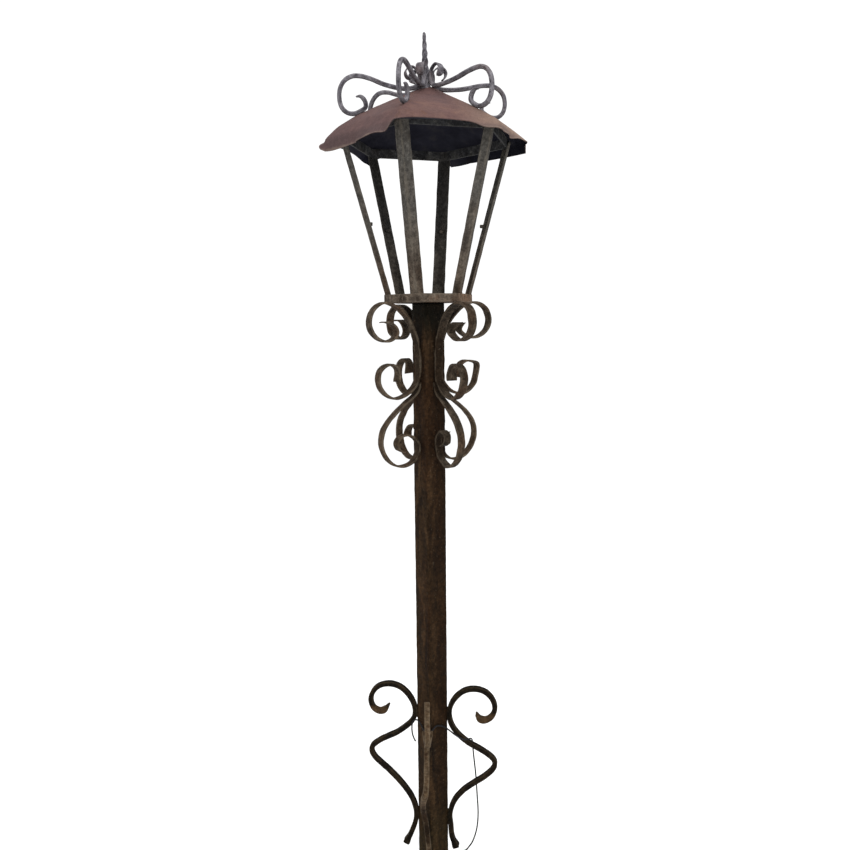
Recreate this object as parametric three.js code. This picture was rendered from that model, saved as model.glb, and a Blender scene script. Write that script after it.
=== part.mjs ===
// A wrought-iron garden lamp post: a square post on a base plate, three tiers of welded scrolls,
// and an open six-sided lantern cage under a sheet roof with a scroll crown and a twisted finial.
// Millimetres, +Z up. The origin is the centre of the base plate's underside.
import * as THREE from 'three';

// ---- driving dimensions ----
const GAP = 0.3; // clearance left between touching pieces

const PLATE = { side: 160, thick: 10, corner: 12 };
const POST = { side: 60, wall: 3, corner: 5, turn: 36.3 }; // turn: direction that one face looks, degrees
const RING = { radius: 114, height: 20, thick: 5, top: 1623 }; // radius: to the corners
const FLOOR = { thick: 4 };
const CAGE = { turn: 14.4, radius: 111.8, slope: 0.2756, top: 2013 }; // slope: a corner bar's lean outwards
const BAR = { leg: 19, thick: 3 };
const STUD = { radius: 4.5, length: 12, height: 1794 };
const FRAME = { bottom: 1988, height: 24, thick: 4 };
const ROOF = {
  thick: 2,
  // From the top down to the eave: [radius on the ridge, height, share of the rise at the side's middle]
  stations: [[10, 2123.5, 0], [220, 2026, 0], [256, 1996, 0.4], [257, 1969, 1]],
  rise: [5, 26, 9, 16, 29, 3], // how far the middle of each side's eave is bent up above its corners
  tilt: [0.03, 0.03], // the whole head sits out of level: rise per unit of x and of y
};
const FINIAL = { side: 18, tip: 4, turns: 1.25, top: 2248, steps: 20 };
// reach: how far out each of the four hand-bent scrolls goes, as a share of its route; lowReach: the same
// below the height middle
const CAPITAL = { width: 23, thick: 5, flare: 31, middle: 1470, reach: [1.19, 1, 1, 1.02], lowReach: [1, 1, 1, 0.94] };
const LOWER = { width: 21, thick: 5, flare: 25, reach: [1, 0.9, 1, 0.84] };
// turn: how far each foot bar is turned about the post's corner, degrees; sag: how far its elbow is bent down
const FOOT = { width: 12, thick: 12, flare: 20, turn: [0, 0, 9, 0], sag: [0, 0, 0, 15] };
const POST_EDGE = 42; // the post's corner edges, from its axis
const CROWN = { bar: 10, leafWidth: 20, leafThick: 3, leafStart: 0.68 }; // leafStart: share of the route
const GLAND = { radius: 8, length: 12, height: 42 };
const LEAD = { radius: 2, steps: 64, sides: 8 };

const HEXAGON = [0, 1, 2, 3, 4, 5];
const SQUARE = [0, 1, 2, 3];
const APOTHEM = Math.cos(Math.PI / 6); // of a hexagon of circumradius 1

// Routes of the scroll bars' centre lines, as [distance from the post's axis, height].
const CAPITAL_ROUTE = [
  [146, 1550], [131, 1555], [115, 1552], [101, 1541], [98, 1527], [108, 1515], [129, 1510], [154, 1518],
  [170, 1534], [175, 1555], [168, 1578], [151, 1593], [131, 1599], [110, 1596], [91, 1587], [74, 1573],
  [59, 1554], [47, 1530], [38, 1502], [34, 1470], [33, 1440], [35, 1418], [46, 1396], [66, 1378],
  [87, 1369], [109, 1366], [131, 1375], [149, 1393], [156, 1415], [151, 1435], [135, 1448], [116, 1451],
  [102, 1443], [97, 1428], [99, 1410],
];
const LOWER_ROUTE = [
  [33, 1403], [35.5, 1388], [48, 1371], [72, 1355], [101, 1334], [126, 1312], [144, 1288], [150, 1265],
  [148, 1243], [137, 1221], [117, 1201], [92, 1192], [67, 1195], [47, 1209], [38, 1228], [40, 1248],
  [54, 1264], [74, 1271], [94, 1267], [104, 1253], [100, 1238], [84, 1228],
];
const FOOT_ROUTE = [
  [121, 509], [131, 496], [146, 491], [163, 499], [171, 521], [165, 544], [147, 564], [118, 572],
  [90, 566], [67, 547], [52, 522], [47, 496], [54, 472], [73, 451], [99, 431], [129, 415],
  [155, 399], [169, 385], [171, 371], [164, 356], [143, 335], [116, 311], [88, 281], [64, 248],
  [52, 221], [47, 194], [51, 165], [63, 131], [77, 101],
];
const CROWN_ROUTE = [
  [172, 2091], [160, 2092], [150, 2084], [148, 2071], [158, 2062.5], [175, 2055], [193, 2057],
  [206, 2069], [211, 2091], [206, 2111], [194, 2127], [173, 2134], [142, 2131], [100, 2122], [60, 2117.5],
  [36, 2118.5], [23, 2124], [17.5, 2133], [16.5, 2147], [22, 2161], [34, 2169], [47, 2166], [54, 2155], [49, 2144],
];
// Route of the loose lead, as [x, y, z]: out of the gland, up beside the post in a slack bow, over a
// foot scroll, round the front of the post, and down to its bare end.
const LEAD_ROUTE = [
  [34.4, 25.2, 42], [40.5, 29.8, 42], [47.5, 34.6, 42.5], [58, 38, 45], [71, 35, 50], [83, 24, 60],
  [92, 10, 74], [99, 1, 90], [108, -2, 106], [116, -2, 127], [121.5, -2, 150], [124.5, -2, 178],
  [125, -2, 204], [123.8, -2, 229], [122.3, -2, 253], [121, -2, 277], [119.5, -2, 301], [117.5, -2, 325],
  [115, -2, 349], [112.6, -2, 372], [111, -2, 392], [110, -3, 406], [108.5, -7, 418], [105, -13, 425.5],
  [98.5, -19.5, 428], [90, -23.5, 428], [80, -25, 431.5], [68, -24.5, 438], [56, -22, 446],
  [44, -19.5, 455], [33, -20, 463.5], [21.5, -26, 471], [10.5, -34.5, 475], [1.5, -41.5, 470],
  [-7, -45, 461.5], [-16, -39, 456.5], [-24.5, -27, 461.5], [-31, -17.5, 470], [-37.5, -10.5, 476.8],
  [-44.5, -6.8, 478.5], [-50.8, -5.5, 475.2], [-54.8, -5, 467], [-56.3, -5, 454], [-55.2, -5, 438],
  [-51.8, -5, 425], [-47, -5, 414.6],
];

const paint = {
  post: new THREE.MeshStandardMaterial({ color: 0x3b2a1e, roughness: 0.7, metalness: 0.3 }),
  scroll: new THREE.MeshStandardMaterial({ color: 0x53483d, roughness: 0.7, metalness: 0.3 }),
  foot: new THREE.MeshStandardMaterial({ color: 0x2c241d, roughness: 0.65, metalness: 0.3 }),
  cage: new THREE.MeshStandardMaterial({ color: 0x55504a, roughness: 0.75, metalness: 0.3 }),
  roof: new THREE.MeshStandardMaterial({ color: 0x7b635e, roughness: 0.8, metalness: 0.2 }),
  crown: new THREE.MeshStandardMaterial({ color: 0x57525a, roughness: 0.6, metalness: 0.4 }),
  rubber: new THREE.MeshStandardMaterial({ color: 0x1c1d20, roughness: 0.6, metalness: 0 }),
};

const lampPost = new THREE.Group();

function add(parent, name, geometry, material) {
  const mesh = new THREE.Mesh(geometry, material);
  mesh.name = name;
  parent.add(mesh);
  return mesh;
}

// A group turned about the post's axis, so that its own +X looks in that direction.
function facing(degrees, parent = lampPost) {
  const group = new THREE.Group();
  group.rotation.z = THREE.MathUtils.degToRad(degrees);
  parent.add(group);
  return group;
}

function roundedSquare(side, corner) {
  const half = side / 2;
  const straight = half - corner;
  const shape = new THREE.Shape();
  shape.moveTo(half, -straight);
  shape.lineTo(half, straight);
  shape.absarc(straight, straight, corner, 0, Math.PI / 2);
  shape.absarc(-straight, straight, corner, Math.PI / 2, Math.PI);
  shape.absarc(-straight, -straight, corner, Math.PI, 1.5 * Math.PI);
  shape.absarc(straight, -straight, corner, 1.5 * Math.PI, 2 * Math.PI);
  return shape;
}

function hexagon(radius) {
  const points = HEXAGON.map((i) => {
    const angle = (i * Math.PI) / 3;
    return new THREE.Vector2(radius * Math.cos(angle), radius * Math.sin(angle));
  });
  return new THREE.Shape(points);
}

function prism(shape, height, curveSegments = 3) {
  return new THREE.ExtrudeGeometry(shape, { depth: height, bevelEnabled: false, curveSegments });
}

// A closed solid from rings of points that follow each other, all with the same even number of points.
// Each end is closed by strips between the ring's first half and its second.
function loft(rings) {
  const count = rings[0].length;
  const faces = [];
  for (let i = 0; i + 1 < rings.length; i += 1) {
    for (let j = 0; j < count; j += 1) {
      const a = i * count + j;
      const b = i * count + ((j + 1) % count);
      faces.push(a, b, b + count, a, b + count, a + count);
    }
  }
  const last = (rings.length - 1) * count;
  for (let j = 0; 2 * j + 3 < count; j += 1) {
    const [a, b, c, d] = [j, j + 1, count - 2 - j, count - 1 - j];
    faces.push(a, c, b, a, d, c, last + a, last + b, last + c, last + a, last + c, last + d);
  }
  const geometry = new THREE.BufferGeometry();
  geometry.setAttribute('position', new THREE.Float32BufferAttribute(rings.flat(2), 3));
  geometry.setIndex(faces);
  geometry.computeVertexNormals();
  return geometry;
}

// A bar bent in the plane of +X and +Z. corners is its section in a unit box, and size(t) gives
// [width across the plane, thickness in the plane] at the fraction t of its length.
function bentBar(route, steps, corners, size) {
  const curve = new THREE.CatmullRomCurve3(route.map(([x, z]) => new THREE.Vector3(x, 0, z)));
  curve.arcLengthDivisions = 800;
  const rings = [];
  for (let i = 0; i <= steps; i += 1) {
    const t = i / steps;
    const point = curve.getPointAt(t);
    const along = curve.getTangentAt(t);
    const [width, thick] = size(t);
    rings.push(corners.map(([across, up]) => [
      point.x - (along.z * up * thick) / 2,
      (across * width) / 2,
      point.z + (along.x * up * thick) / 2,
    ]));
  }
  return loft(rings);
}

const FLAT_SECTION = [[-1, -1], [1, -1], [1, 1], [-1, 1]];
const ROUND_SECTION = HEXAGON.map((i) => [Math.cos((i * Math.PI) / 3), Math.sin((i * Math.PI) / 3)]);

// 1 at the ends of a bar, falling to 0 over the fraction reach of its length.
function nearEnd(t, reach) {
  return Math.max(0, 1 - t / reach, 1 - (1 - t) / reach);
}

// The route with its distance from the post's face multiplied by reach(z).
function stretched(route, reach) {
  const face = Math.min(...route.map(([x]) => x));
  return route.map(([x, z]) => [face + (x - face) * reach(z), z]);
}

// The route with its elbow, between the two places where it meets the post, bent down by sag.
function sagging(route, sag) {
  const { smoothstep } = THREE.MathUtils;
  return route.map(([x, z]) => [x, z - sag * smoothstep(z, 250, 340) * (1 - smoothstep(z, 440, 510))]);
}

function makePost() {
  const inPlace = facing(POST.turn);
  const bottom = PLATE.thick + GAP;
  const floorUnder = RING.top - RING.height;
  const tube = roundedSquare(POST.side, POST.corner);
  tube.holes.push(roundedSquare(POST.side - 2 * POST.wall, POST.corner - POST.wall));
  add(inPlace, 'post', prism(tube, floorUnder - GAP - bottom), paint.post).position.z = bottom;
  add(inPlace, 'base_plate', prism(roundedSquare(PLATE.side, PLATE.corner), PLATE.thick), paint.post);

  const gland = new THREE.CylinderGeometry(GLAND.radius, GLAND.radius, GLAND.length, 12);
  gland.rotateZ(Math.PI / 2);
  const glandMesh = add(inPlace, 'cable_gland', gland, paint.rubber);
  glandMesh.position.set(POST.side / 2 + GAP + GLAND.length / 2, 0, GLAND.height);
}

function makeScrolls() {
  SQUARE.forEach((i) => {
    const face = facing(POST.turn + 90 * i);
    const capitalReach = (z) => (z > CAPITAL.middle ? CAPITAL.reach[i] : CAPITAL.lowReach[i]);
    const capital = bentBar(stretched(CAPITAL_ROUTE, capitalReach), 52, FLAT_SECTION, (t) => {
      return [THREE.MathUtils.lerp(CAPITAL.width, CAPITAL.flare, nearEnd(t, 0.07)), CAPITAL.thick];
    });
    add(face, `capital_scroll_${i + 1}`, capital, paint.scroll);

    const lower = bentBar(stretched(LOWER_ROUTE, () => LOWER.reach[i]), 36, FLAT_SECTION, (t) => {
      return [THREE.MathUtils.lerp(LOWER.width, LOWER.flare, Math.max(0, 1 - (1 - t) / 0.1)), LOWER.thick];
    });
    add(face, `lower_scroll_${i + 1}`, lower, paint.scroll);

    const edge = facing(POST.turn + 45 + 90 * i);
    const turned = new THREE.Group();
    turned.position.x = POST_EDGE;
    turned.rotation.z = THREE.MathUtils.degToRad(FOOT.turn[i]);
    edge.add(turned);
    const foot = bentBar(sagging(FOOT_ROUTE, FOOT.sag[i]), 40, FLAT_SECTION, (t) => {
      const end = nearEnd(t, 0.05);
      return [
        THREE.MathUtils.lerp(FOOT.width, FOOT.flare, end),
        THREE.MathUtils.lerp(FOOT.thick, FOOT.thick / 2, Math.max(0, 1 - t / 0.1)),
      ];
    });
    add(turned, `foot_scroll_${i + 1}`, foot, paint.foot).position.x = -POST_EDGE;
  });
}

// A flat hexagonal band: the outline of a hexagon with a smaller one cut out of it.
function band(radius, thick, height) {
  const outline = hexagon(radius);
  outline.holes.push(hexagon(radius - thick / APOTHEM));
  return prism(outline, height);
}

// The angle section of a corner bar: two legs that follow the hexagon's sides from its corner at +X.
function angleSection(radius) {
  const corner = new THREE.Vector2(radius, 0);
  const inner = new THREE.Vector2(radius - BAR.thick / APOTHEM, 0);
  const along = new THREE.Vector2(-0.5, APOTHEM); // from the corner at +X to the next one
  const across = new THREE.Vector2(-APOTHEM, -0.5); // square to that side, inwards
  const tip = corner.clone().addScaledVector(along, BAR.leg);
  const innerTip = tip.clone().addScaledVector(across, BAR.thick);
  const mirror = (point) => new THREE.Vector2(point.x, -point.y);
  return new THREE.Shape([corner, tip, innerTip, inner, mirror(innerTip), mirror(tip)]);
}

function makeCage() {
  const inPlace = facing(CAGE.turn);
  const ringBottom = RING.top - RING.height;
  add(inPlace, 'lantern_ring', band(RING.radius, RING.thick, RING.height), paint.cage).position.z = ringBottom;
  const floorRadius = RING.radius - (RING.thick + GAP) / APOTHEM;
  add(inPlace, 'lantern_floor', prism(hexagon(floorRadius), FLOOR.thick), paint.cage).position.z = ringBottom;

  const cornerRadius = (height) => CAGE.radius + CAGE.slope * (height - RING.top);
  const frameRadius = cornerRadius(FRAME.bottom) - (BAR.thick + GAP) / APOTHEM;
  const frame = band(frameRadius, FRAME.thick, FRAME.height);
  add(inPlace, 'upper_frame', frame, paint.cage).position.z = FRAME.bottom;

  const barBottom = RING.top + GAP;
  const lean = new THREE.Matrix4().makeShear(0, 0, 0, 0, CAGE.slope, 0);
  HEXAGON.forEach((i) => {
    const corner = facing(CAGE.turn + 60 * i);
    const bar = prism(angleSection(CAGE.radius), CAGE.top - barBottom).applyMatrix4(lean);
    add(corner, `corner_bar_${i + 1}`, bar, paint.cage).position.z = barBottom;

    const stud = new THREE.CylinderGeometry(STUD.radius, STUD.radius, STUD.length, 8);
    stud.rotateZ(Math.PI / 2);
    const apex = cornerRadius(STUD.height - STUD.radius) - BAR.thick / APOTHEM; // of the angle's inner faces
    const inside = apex - STUD.radius * Math.tan(Math.PI / 6) - GAP;
    const studMesh = add(corner, `glass_stud_${i + 1}`, stud, paint.cage);
    studMesh.position.set(inside - STUD.length / 2, 0, STUD.height);
  });
}

// One of the roof's six sheets: a triangle folded down twice at the eave, lying about +X.
function roofPanel(rise) {
  const stations = ROOF.stations.map(([radius, ridge, share]) => {
    return { x: radius * APOTHEM, ridge, middle: ridge + share * rise };
  });
  const folds = stations.slice(1).map((next, i) => {
    return new THREE.Vector2(stations[i].ridge - next.ridge, next.x - stations[i].x).normalize();
  });
  const rings = stations.map(({ x, ridge, middle }, i) => {
    const before = folds[Math.max(i - 1, 0)];
    const mitre = before.clone().add(folds[Math.min(i, folds.length - 1)]).normalize();
    const inward = mitre.multiplyScalar(-ROOF.thick / mitre.dot(before));
    const row = (offset) => {
      const half = (x + offset.x) * Math.tan(Math.PI / 6) - GAP;
      return [[half, ridge], [0, middle], [-half, ridge]].map(([y, z]) => [x + offset.x, y, z + offset.y]);
    };
    return [...row(new THREE.Vector2(0, 0)), ...row(inward).reverse()];
  });
  return loft(rings);
}

// The roof, its crown of scrolls and its finial, which sit out of level together.
function makeHead() {
  const head = new THREE.Group();
  head.matrixAutoUpdate = false;
  head.matrix.makeShear(0, ROOF.tilt[0], 0, ROOF.tilt[1], 0, 0);
  lampPost.add(head);

  HEXAGON.forEach((i) => {
    add(facing(CAGE.turn + 30 + 60 * i, head), `roof_panel_${i + 1}`, roofPanel(ROOF.rise[i]), paint.roof);

    const crown = bentBar(CROWN_ROUTE, 46, ROUND_SECTION, (t) => {
      const leaf = THREE.MathUtils.smoothstep(t, CROWN.leafStart, 1);
      const flat = THREE.MathUtils.smoothstep(t, CROWN.leafStart, 0.8);
      const spread = THREE.MathUtils.smoothstep(t, 0.84, 0.93);
      return [
        THREE.MathUtils.lerp(CROWN.bar, CROWN.leafWidth, spread),
        THREE.MathUtils.lerp(CROWN.bar, CROWN.leafThick + 2 * (1 - leaf), flat),
      ];
    });
    add(facing(CAGE.turn + 60 * i, head), `crown_scroll_${i + 1}`, crown, paint.crown);
  });
  makeFinial(head);
}

function makeFinial(head) {
  const bottom = ROOF.stations[0][1] + GAP;
  const rings = [];
  for (let i = 0; i <= FINIAL.steps; i += 1) {
    const t = i / FINIAL.steps;
    const half = THREE.MathUtils.lerp(FINIAL.side, FINIAL.tip, t) / 2;
    const turn = t * FINIAL.turns * 2 * Math.PI;
    const height = THREE.MathUtils.lerp(bottom, FINIAL.top, t);
    rings.push(SQUARE.map((j) => {
      const angle = turn + ((j + 0.5) * Math.PI) / 2;
      return [half * Math.SQRT2 * Math.cos(angle), half * Math.SQRT2 * Math.sin(angle), height];
    }));
  }
  add(head, 'finial', loft(rings), paint.crown);
}

function makeLead() {
  const route = new THREE.CatmullRomCurve3(LEAD_ROUTE.map(([x, y, z]) => new THREE.Vector3(x, y, z)));
  const section = new THREE.Shape();
  section.absarc(0, 0, LEAD.radius, 0, 2 * Math.PI);
  const tube = new THREE.ExtrudeGeometry(section, {
    steps: LEAD.steps,
    curveSegments: LEAD.sides,
    extrudePath: route,
  });
  add(lampPost, 'lead', tube, paint.rubber);
}

makePost();
makeScrolls();
makeCage();
makeHead();
makeLead();

export default lampPost;
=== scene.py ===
"""The looks of a rusted wrought-iron lamp post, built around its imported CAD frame.

Metres, +Z up, the origin at the centre of the base plate's underside. Sizes and routes are given in
millimetres and turned into metres where a mesh is made.
"""
import math

import bpy
import numpy as np
from mathutils import Matrix, Vector, noise


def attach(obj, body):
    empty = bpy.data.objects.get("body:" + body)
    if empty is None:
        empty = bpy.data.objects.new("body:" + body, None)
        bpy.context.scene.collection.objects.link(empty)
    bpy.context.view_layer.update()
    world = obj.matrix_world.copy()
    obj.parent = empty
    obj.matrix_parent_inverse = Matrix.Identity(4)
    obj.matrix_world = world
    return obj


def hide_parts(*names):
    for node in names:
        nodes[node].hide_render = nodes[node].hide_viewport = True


MM = 0.001

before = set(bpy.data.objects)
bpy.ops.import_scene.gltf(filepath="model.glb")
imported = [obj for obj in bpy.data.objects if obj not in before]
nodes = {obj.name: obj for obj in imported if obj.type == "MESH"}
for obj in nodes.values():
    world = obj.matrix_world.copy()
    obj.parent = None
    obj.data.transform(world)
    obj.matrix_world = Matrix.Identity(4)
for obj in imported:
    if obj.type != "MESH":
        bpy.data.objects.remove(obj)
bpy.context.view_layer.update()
scene = bpy.context.scene


# ---- camera, floor and light -------------------------------------------------------------------

def make_camera():
    camera = bpy.data.objects.new("camera", bpy.data.cameras.new("camera"))
    scene.collection.objects.link(camera)
    camera.data.lens, camera.data.sensor_width = 31.52, 36
    camera.location = (-0.01126, -1.9112, 1.555)
    down, roll = math.radians(7.89), math.radians(-0.633)
    camera.rotation_euler = (
        Matrix.Rotation(math.pi / 2 - down, 3, "X") @ Matrix.Rotation(roll, 3, "Z")
    ).to_euler()
    scene.camera = camera


def make_studio():
    world = bpy.data.worlds.new("studio")
    world.use_nodes = True
    world.node_tree.nodes["Background"].inputs["Color"].default_value = (1, 1, 1, 1)
    world.node_tree.nodes["Background"].inputs["Strength"].default_value = 1.08
    scene.world = world
    scene.view_settings.view_transform = "Standard"

    for name, place, size, power in (
        ("key", (0.5, -2.6, 3.9), 1.8, 60),
        ("top", (0.3, 0.3, 4.6), 2.4, 50),
    ):
        light = bpy.data.objects.new(name, bpy.data.lights.new(name, "AREA"))
        light.data.size, light.data.energy = size, power
        light.location = place
        aim = Vector((0, 0, 1.2)) - light.location
        light.rotation_euler = aim.to_track_quat("-Z", "Y").to_euler()
        scene.collection.objects.link(light)

    mesh = bpy.data.meshes.new("floor")
    mesh.from_pydata([(x, y, 0) for x, y in ((-30, -30), (30, -30), (30, 30), (-30, 30))], [], [(0, 1, 2, 3)])
    floor = bpy.data.objects.new("floor", mesh)
    scene.collection.objects.link(floor)
    paint = bpy.data.materials.new("floor_paint")
    paint.use_nodes = True
    shader = paint.node_tree.nodes["Principled BSDF"]
    shader.inputs["Base Color"].default_value = (0.96, 0.96, 0.96, 1)
    shader.inputs["Roughness"].default_value = 0.9
    mesh.materials.append(paint)


# ---- materials ---------------------------------------------------------------------------------

SHARE_SHOWN = 0.68  # the paint's own share of the brightness that shows under these lights


def tone(red, green, blue):
    """The paint that shows as this screen colour, 0 to 255, in the studio's light."""
    screen = [c / 255 for c in (red, green, blue)]
    linear = [c / 12.92 if c < 0.04 else ((c + 0.055) / 1.055) ** 2.4 for c in screen]
    return [SHARE_SHOWN * c for c in linear] + [1]


class Graph:
    """A material's node tree, built up by short calls."""

    def __init__(self, name):
        self.material = bpy.data.materials.new(name)
        self.material.use_nodes = True
        self.tree = self.material.node_tree
        self.shader = self.tree.nodes["Principled BSDF"]
        self.coords = self.tree.nodes.new("ShaderNodeTexCoord").outputs["Object"]

    def node(self, kind, inputs=(), **settings):
        made = self.tree.nodes.new(kind)
        for name, value in settings.items():
            setattr(made, name, value)
        for name, value in dict(inputs).items():
            self.feed(made.inputs[name], value)
        return made

    def feed(self, socket, value):
        if isinstance(value, bpy.types.NodeSocket):
            self.tree.links.new(value, socket)
        else:
            socket.default_value = value

    def noise(self, scale, detail=4, rough=0.55, stretch=(1, 1, 1), shift=0.0, distortion=0.0):
        """Noise from 0 to 1 with grains about 1/scale metres, longer along an axis with stretch under 1."""
        place = self.node(
            "ShaderNodeMapping",
            {"Vector": self.coords, "Scale": [scale * s for s in stretch], "Location": (shift, shift, shift)},
        )
        inputs = {"Vector": place.outputs[0], "Scale": 1, "Detail": detail}
        inputs.update({"Roughness": rough, "Distortion": distortion})
        return self.node("ShaderNodeTexNoise", inputs).outputs["Fac"]

    def cells(self, scale, shift=0.0):
        place = self.node("ShaderNodeMapping", {"Vector": self.coords, "Location": (shift, shift, shift)})
        return self.node(
            "ShaderNodeTexVoronoi", {"Vector": place.outputs[0], "Scale": scale, "Randomness": 1}
        ).outputs["Distance"]

    def range(self, value, low, high, out_low=0.0, out_high=1.0):
        made = self.node(
            "ShaderNodeMapRange",
            {"Value": value, "From Min": low, "From Max": high, "To Min": out_low, "To Max": out_high},
            interpolation_type="SMOOTHSTEP",
        )
        return made.outputs["Result"]

    def math(self, operation, a, b):
        made = self.node("ShaderNodeMath", operation=operation)
        self.feed(made.inputs[0], a)
        self.feed(made.inputs[1], b)
        return made.outputs[0]

    def mix(self, share, a, b, blend="MIX"):
        made = self.node("ShaderNodeMix", data_type="RGBA", blend_type=blend)
        self.feed(made.inputs[0], share)
        self.feed(made.inputs[6], a)
        self.feed(made.inputs[7], b)
        return made.outputs[2]

    def ramp(self, value, *stops):
        made = self.node("ShaderNodeValToRGB", {"Fac": value})
        ramp = made.color_ramp
        while len(ramp.elements) < len(stops):
            ramp.elements.new(0.5)
        for element, (place, colour) in zip(ramp.elements, stops):
            element.position, element.color = place, colour
        return made.outputs["Color"]

    def position(self, axis, low, high):
        """0 to 1 as the place along an axis goes from low to high (m)."""
        split = self.node("ShaderNodeSeparateXYZ", {"Vector": self.coords})
        return self.range(split.outputs[axis], low, high)

    def out_from_post(self, low, high):
        """0 to 1 as the distance from the post's axis goes from low to high (m)."""
        flat = self.node("ShaderNodeMapping", {"Vector": self.coords, "Scale": (1, 1, 0)})
        distance = self.node("ShaderNodeVectorMath", {0: flat.outputs[0]}, operation="LENGTH")
        return self.range(distance.outputs["Value"], low, high)

    def speckled(self, colour, scale, low, high, shift=0.0):
        """The colour darkened and lightened by grains, from low to high times."""
        grains = self.noise(scale, 4, 0.7, (1, 1, 1), shift)
        shades = self.ramp(grains, (0.3, [low] * 3 + [1]), (0.5, [1, 1, 1, 1]), (0.7, [high] * 3 + [1]))
        return self.mix(1.0, colour, shades, "MULTIPLY"), grains

    def worn(self, low=0.35, high=0.8):
        """How bare an edge is rubbed: the mesh's own wear, broken up by noise."""
        wear = self.node("ShaderNodeAttribute", attribute_name="wear").outputs["Fac"]
        broken = self.math("ADD", wear, self.range(self.noise(45, 3), 0.3, 0.7, -0.35, 0.25))
        return self.range(broken, low, high)

    def bump(self, height, distance, strength=1.0, over=None):
        inputs = {"Height": height, "Distance": distance, "Strength": strength}
        if over is not None:
            inputs["Normal"] = over
        return self.node("ShaderNodeBump", inputs).outputs["Normal"]

    def finish(self, colour, roughness, normal, specular=0.06):
        self.feed(self.shader.inputs["Base Color"], colour)
        self.feed(self.shader.inputs["Roughness"], roughness)
        self.feed(self.shader.inputs["Normal"], normal)
        self.shader.inputs["Specular IOR Level"].default_value = specular
        return self.material


def fading_in(axis, start, end):
    """Where a tint lies: it fades in from start to end along an axis (m), whichever of them is greater."""
    return lambda g: g.position(axis, start, end)


def near_post(g):
    return g.out_from_post(0.075, 0.04)


def painted_highlight_foot_tips(g):
    """The flattened ends inside the foot bars' upper loops, painted paler as a highlight where the light
    falls on them.
    """
    at_height = g.math("MULTIPLY", g.position("Z", 0.512, 0.5), g.position("Z", 0.465, 0.48))
    return g.math("MULTIPLY", at_height, g.out_from_post(0.085, 0.11))


def rusted_iron(name, tones, rust, bare, streaks, shift, rust_share, wear_share, tints=()):
    """Old iron: mottled brown scale, orange patches, pits, pale flecks, and edges rubbed lighter.

    tones are the scale's dark, middle and light. streaks draws the mottling out along Z, shift moves it.
    Each tint is (where it lies, share, colour) and washes over a part; some tints are painted shade or
    painted highlight.
    """
    g = Graph(name)
    along = (1, 1, 1 / (1 + 2 * streaks))
    mottle = g.noise(34, 8, 0.68, along, shift, 0.5)
    colour = g.ramp(mottle, *zip((0.38, 0.5, 0.63), tones))
    patches = g.range(g.noise(12, 5, 0.6, along, shift + 7), 0.5, 0.66, 0, rust_share)
    colour = g.mix(patches, colour, rust)
    for where, share, wash in tints:
        lies = where(g)
        broken = g.range(g.noise(20, 4, shift=shift + 2), 0.25, 0.6, 0.55 * share, share)
        colour = g.mix(g.math("MULTIPLY", lies, broken), colour, wash)
    colour, blotches = g.speckled(colour, 95, 0.5, 1.65, shift + 3)
    colour, grain = g.speckled(colour, 330, 0.7, 1.4, shift + 5)
    flecks = g.range(g.noise(230, 2, 0.5, shift=shift + 9), 0.64, 0.74, 0, 0.45)
    colour = g.mix(flecks, colour, bare)
    colour = g.mix(g.math("MULTIPLY", g.worn(), wear_share), colour, bare)
    pits = g.range(g.cells(150, shift), 0.05, 0.35)
    relief = g.math("ADD", g.math("MULTIPLY", mottle, 1.6), g.math("MULTIPLY", pits, 0.35))
    relief = g.math("ADD", relief, g.math("MULTIPLY", blotches, 1.0))
    normal = g.bump(grain, 0.0008, 0.6, g.bump(relief, 0.0028, 1.0))
    return g.finish(colour, g.range(mottle, 0.3, 0.7, 0.75, 0.95), normal)


def roof_paint():
    """Chalky red-brown paint with rust showing through, the eaves darker and the lip rubbed pale."""
    g = Graph("roof_paint")
    mottle = g.noise(16, 7, 0.6, (1, 1, 1), 2, 0.6)
    colour = g.ramp(
        mottle,
        (0.32, tone(86, 64, 62)), (0.45, tone(101, 76, 73)),
        (0.56, tone(109, 83, 78)), (0.7, tone(121, 94, 85)),
    )
    colour = g.mix(g.range(g.noise(7, 4, 0.5, shift=4), 0.5, 0.7, 0, 0.6), colour, tone(92, 73, 73))
    colour = g.mix(g.range(g.noise(24, 6, 0.65, shift=9), 0.56, 0.7, 0, 0.5), colour, tone(110, 79, 61))
    colour = g.mix(g.math("MULTIPLY", g.position("X", 0.04, 0.2), 0.75), colour, tone(148, 127, 113))
    colour = g.mix(g.math("MULTIPLY", g.position("X", -0.03, -0.12), 0.5), colour, tone(98, 80, 80))
    colour = g.mix(g.math("MULTIPLY", g.position("Z", 1.996, 1.982), 0.6), colour, tone(88, 74, 74))
    colour, blotches = g.speckled(colour, 120, 0.86, 1.14, 6)
    colour, grain = g.speckled(colour, 430, 0.84, 1.18, 8)
    colour = g.mix(g.math("MULTIPLY", g.worn(0.4, 1.0), 0.35), colour, tone(150, 132, 118))
    fine = g.math("ADD", g.math("MULTIPLY", grain, 0.25), g.math("MULTIPLY", blotches, 0.3))
    relief = g.math("ADD", mottle, fine)
    return g.finish(colour, g.range(mottle, 0.3, 0.7, 0.75, 0.95), g.bump(relief, 0.0014, 0.6))


def roof_underside_painted_shade():
    """The sheet's inner face: nearly black, a painted shade, with a few rusty and dusty smears."""
    g = Graph("roof_underside_painted_shade")
    mottle = g.noise(20, 6, 0.6)
    colour = g.ramp(mottle, (0.35, tone(24, 24, 33)), (0.55, tone(38, 38, 47)), (0.75, tone(55, 53, 55)))
    colour = g.mix(g.range(g.noise(9, 4, shift=5), 0.55, 0.7, 0, 0.5), colour, tone(42, 34, 28))
    return g.finish(colour, g.range(mottle, 0.3, 0.7, 0.75, 0.9), g.bump(mottle, 0.001, 0.5), 0.04)


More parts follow.
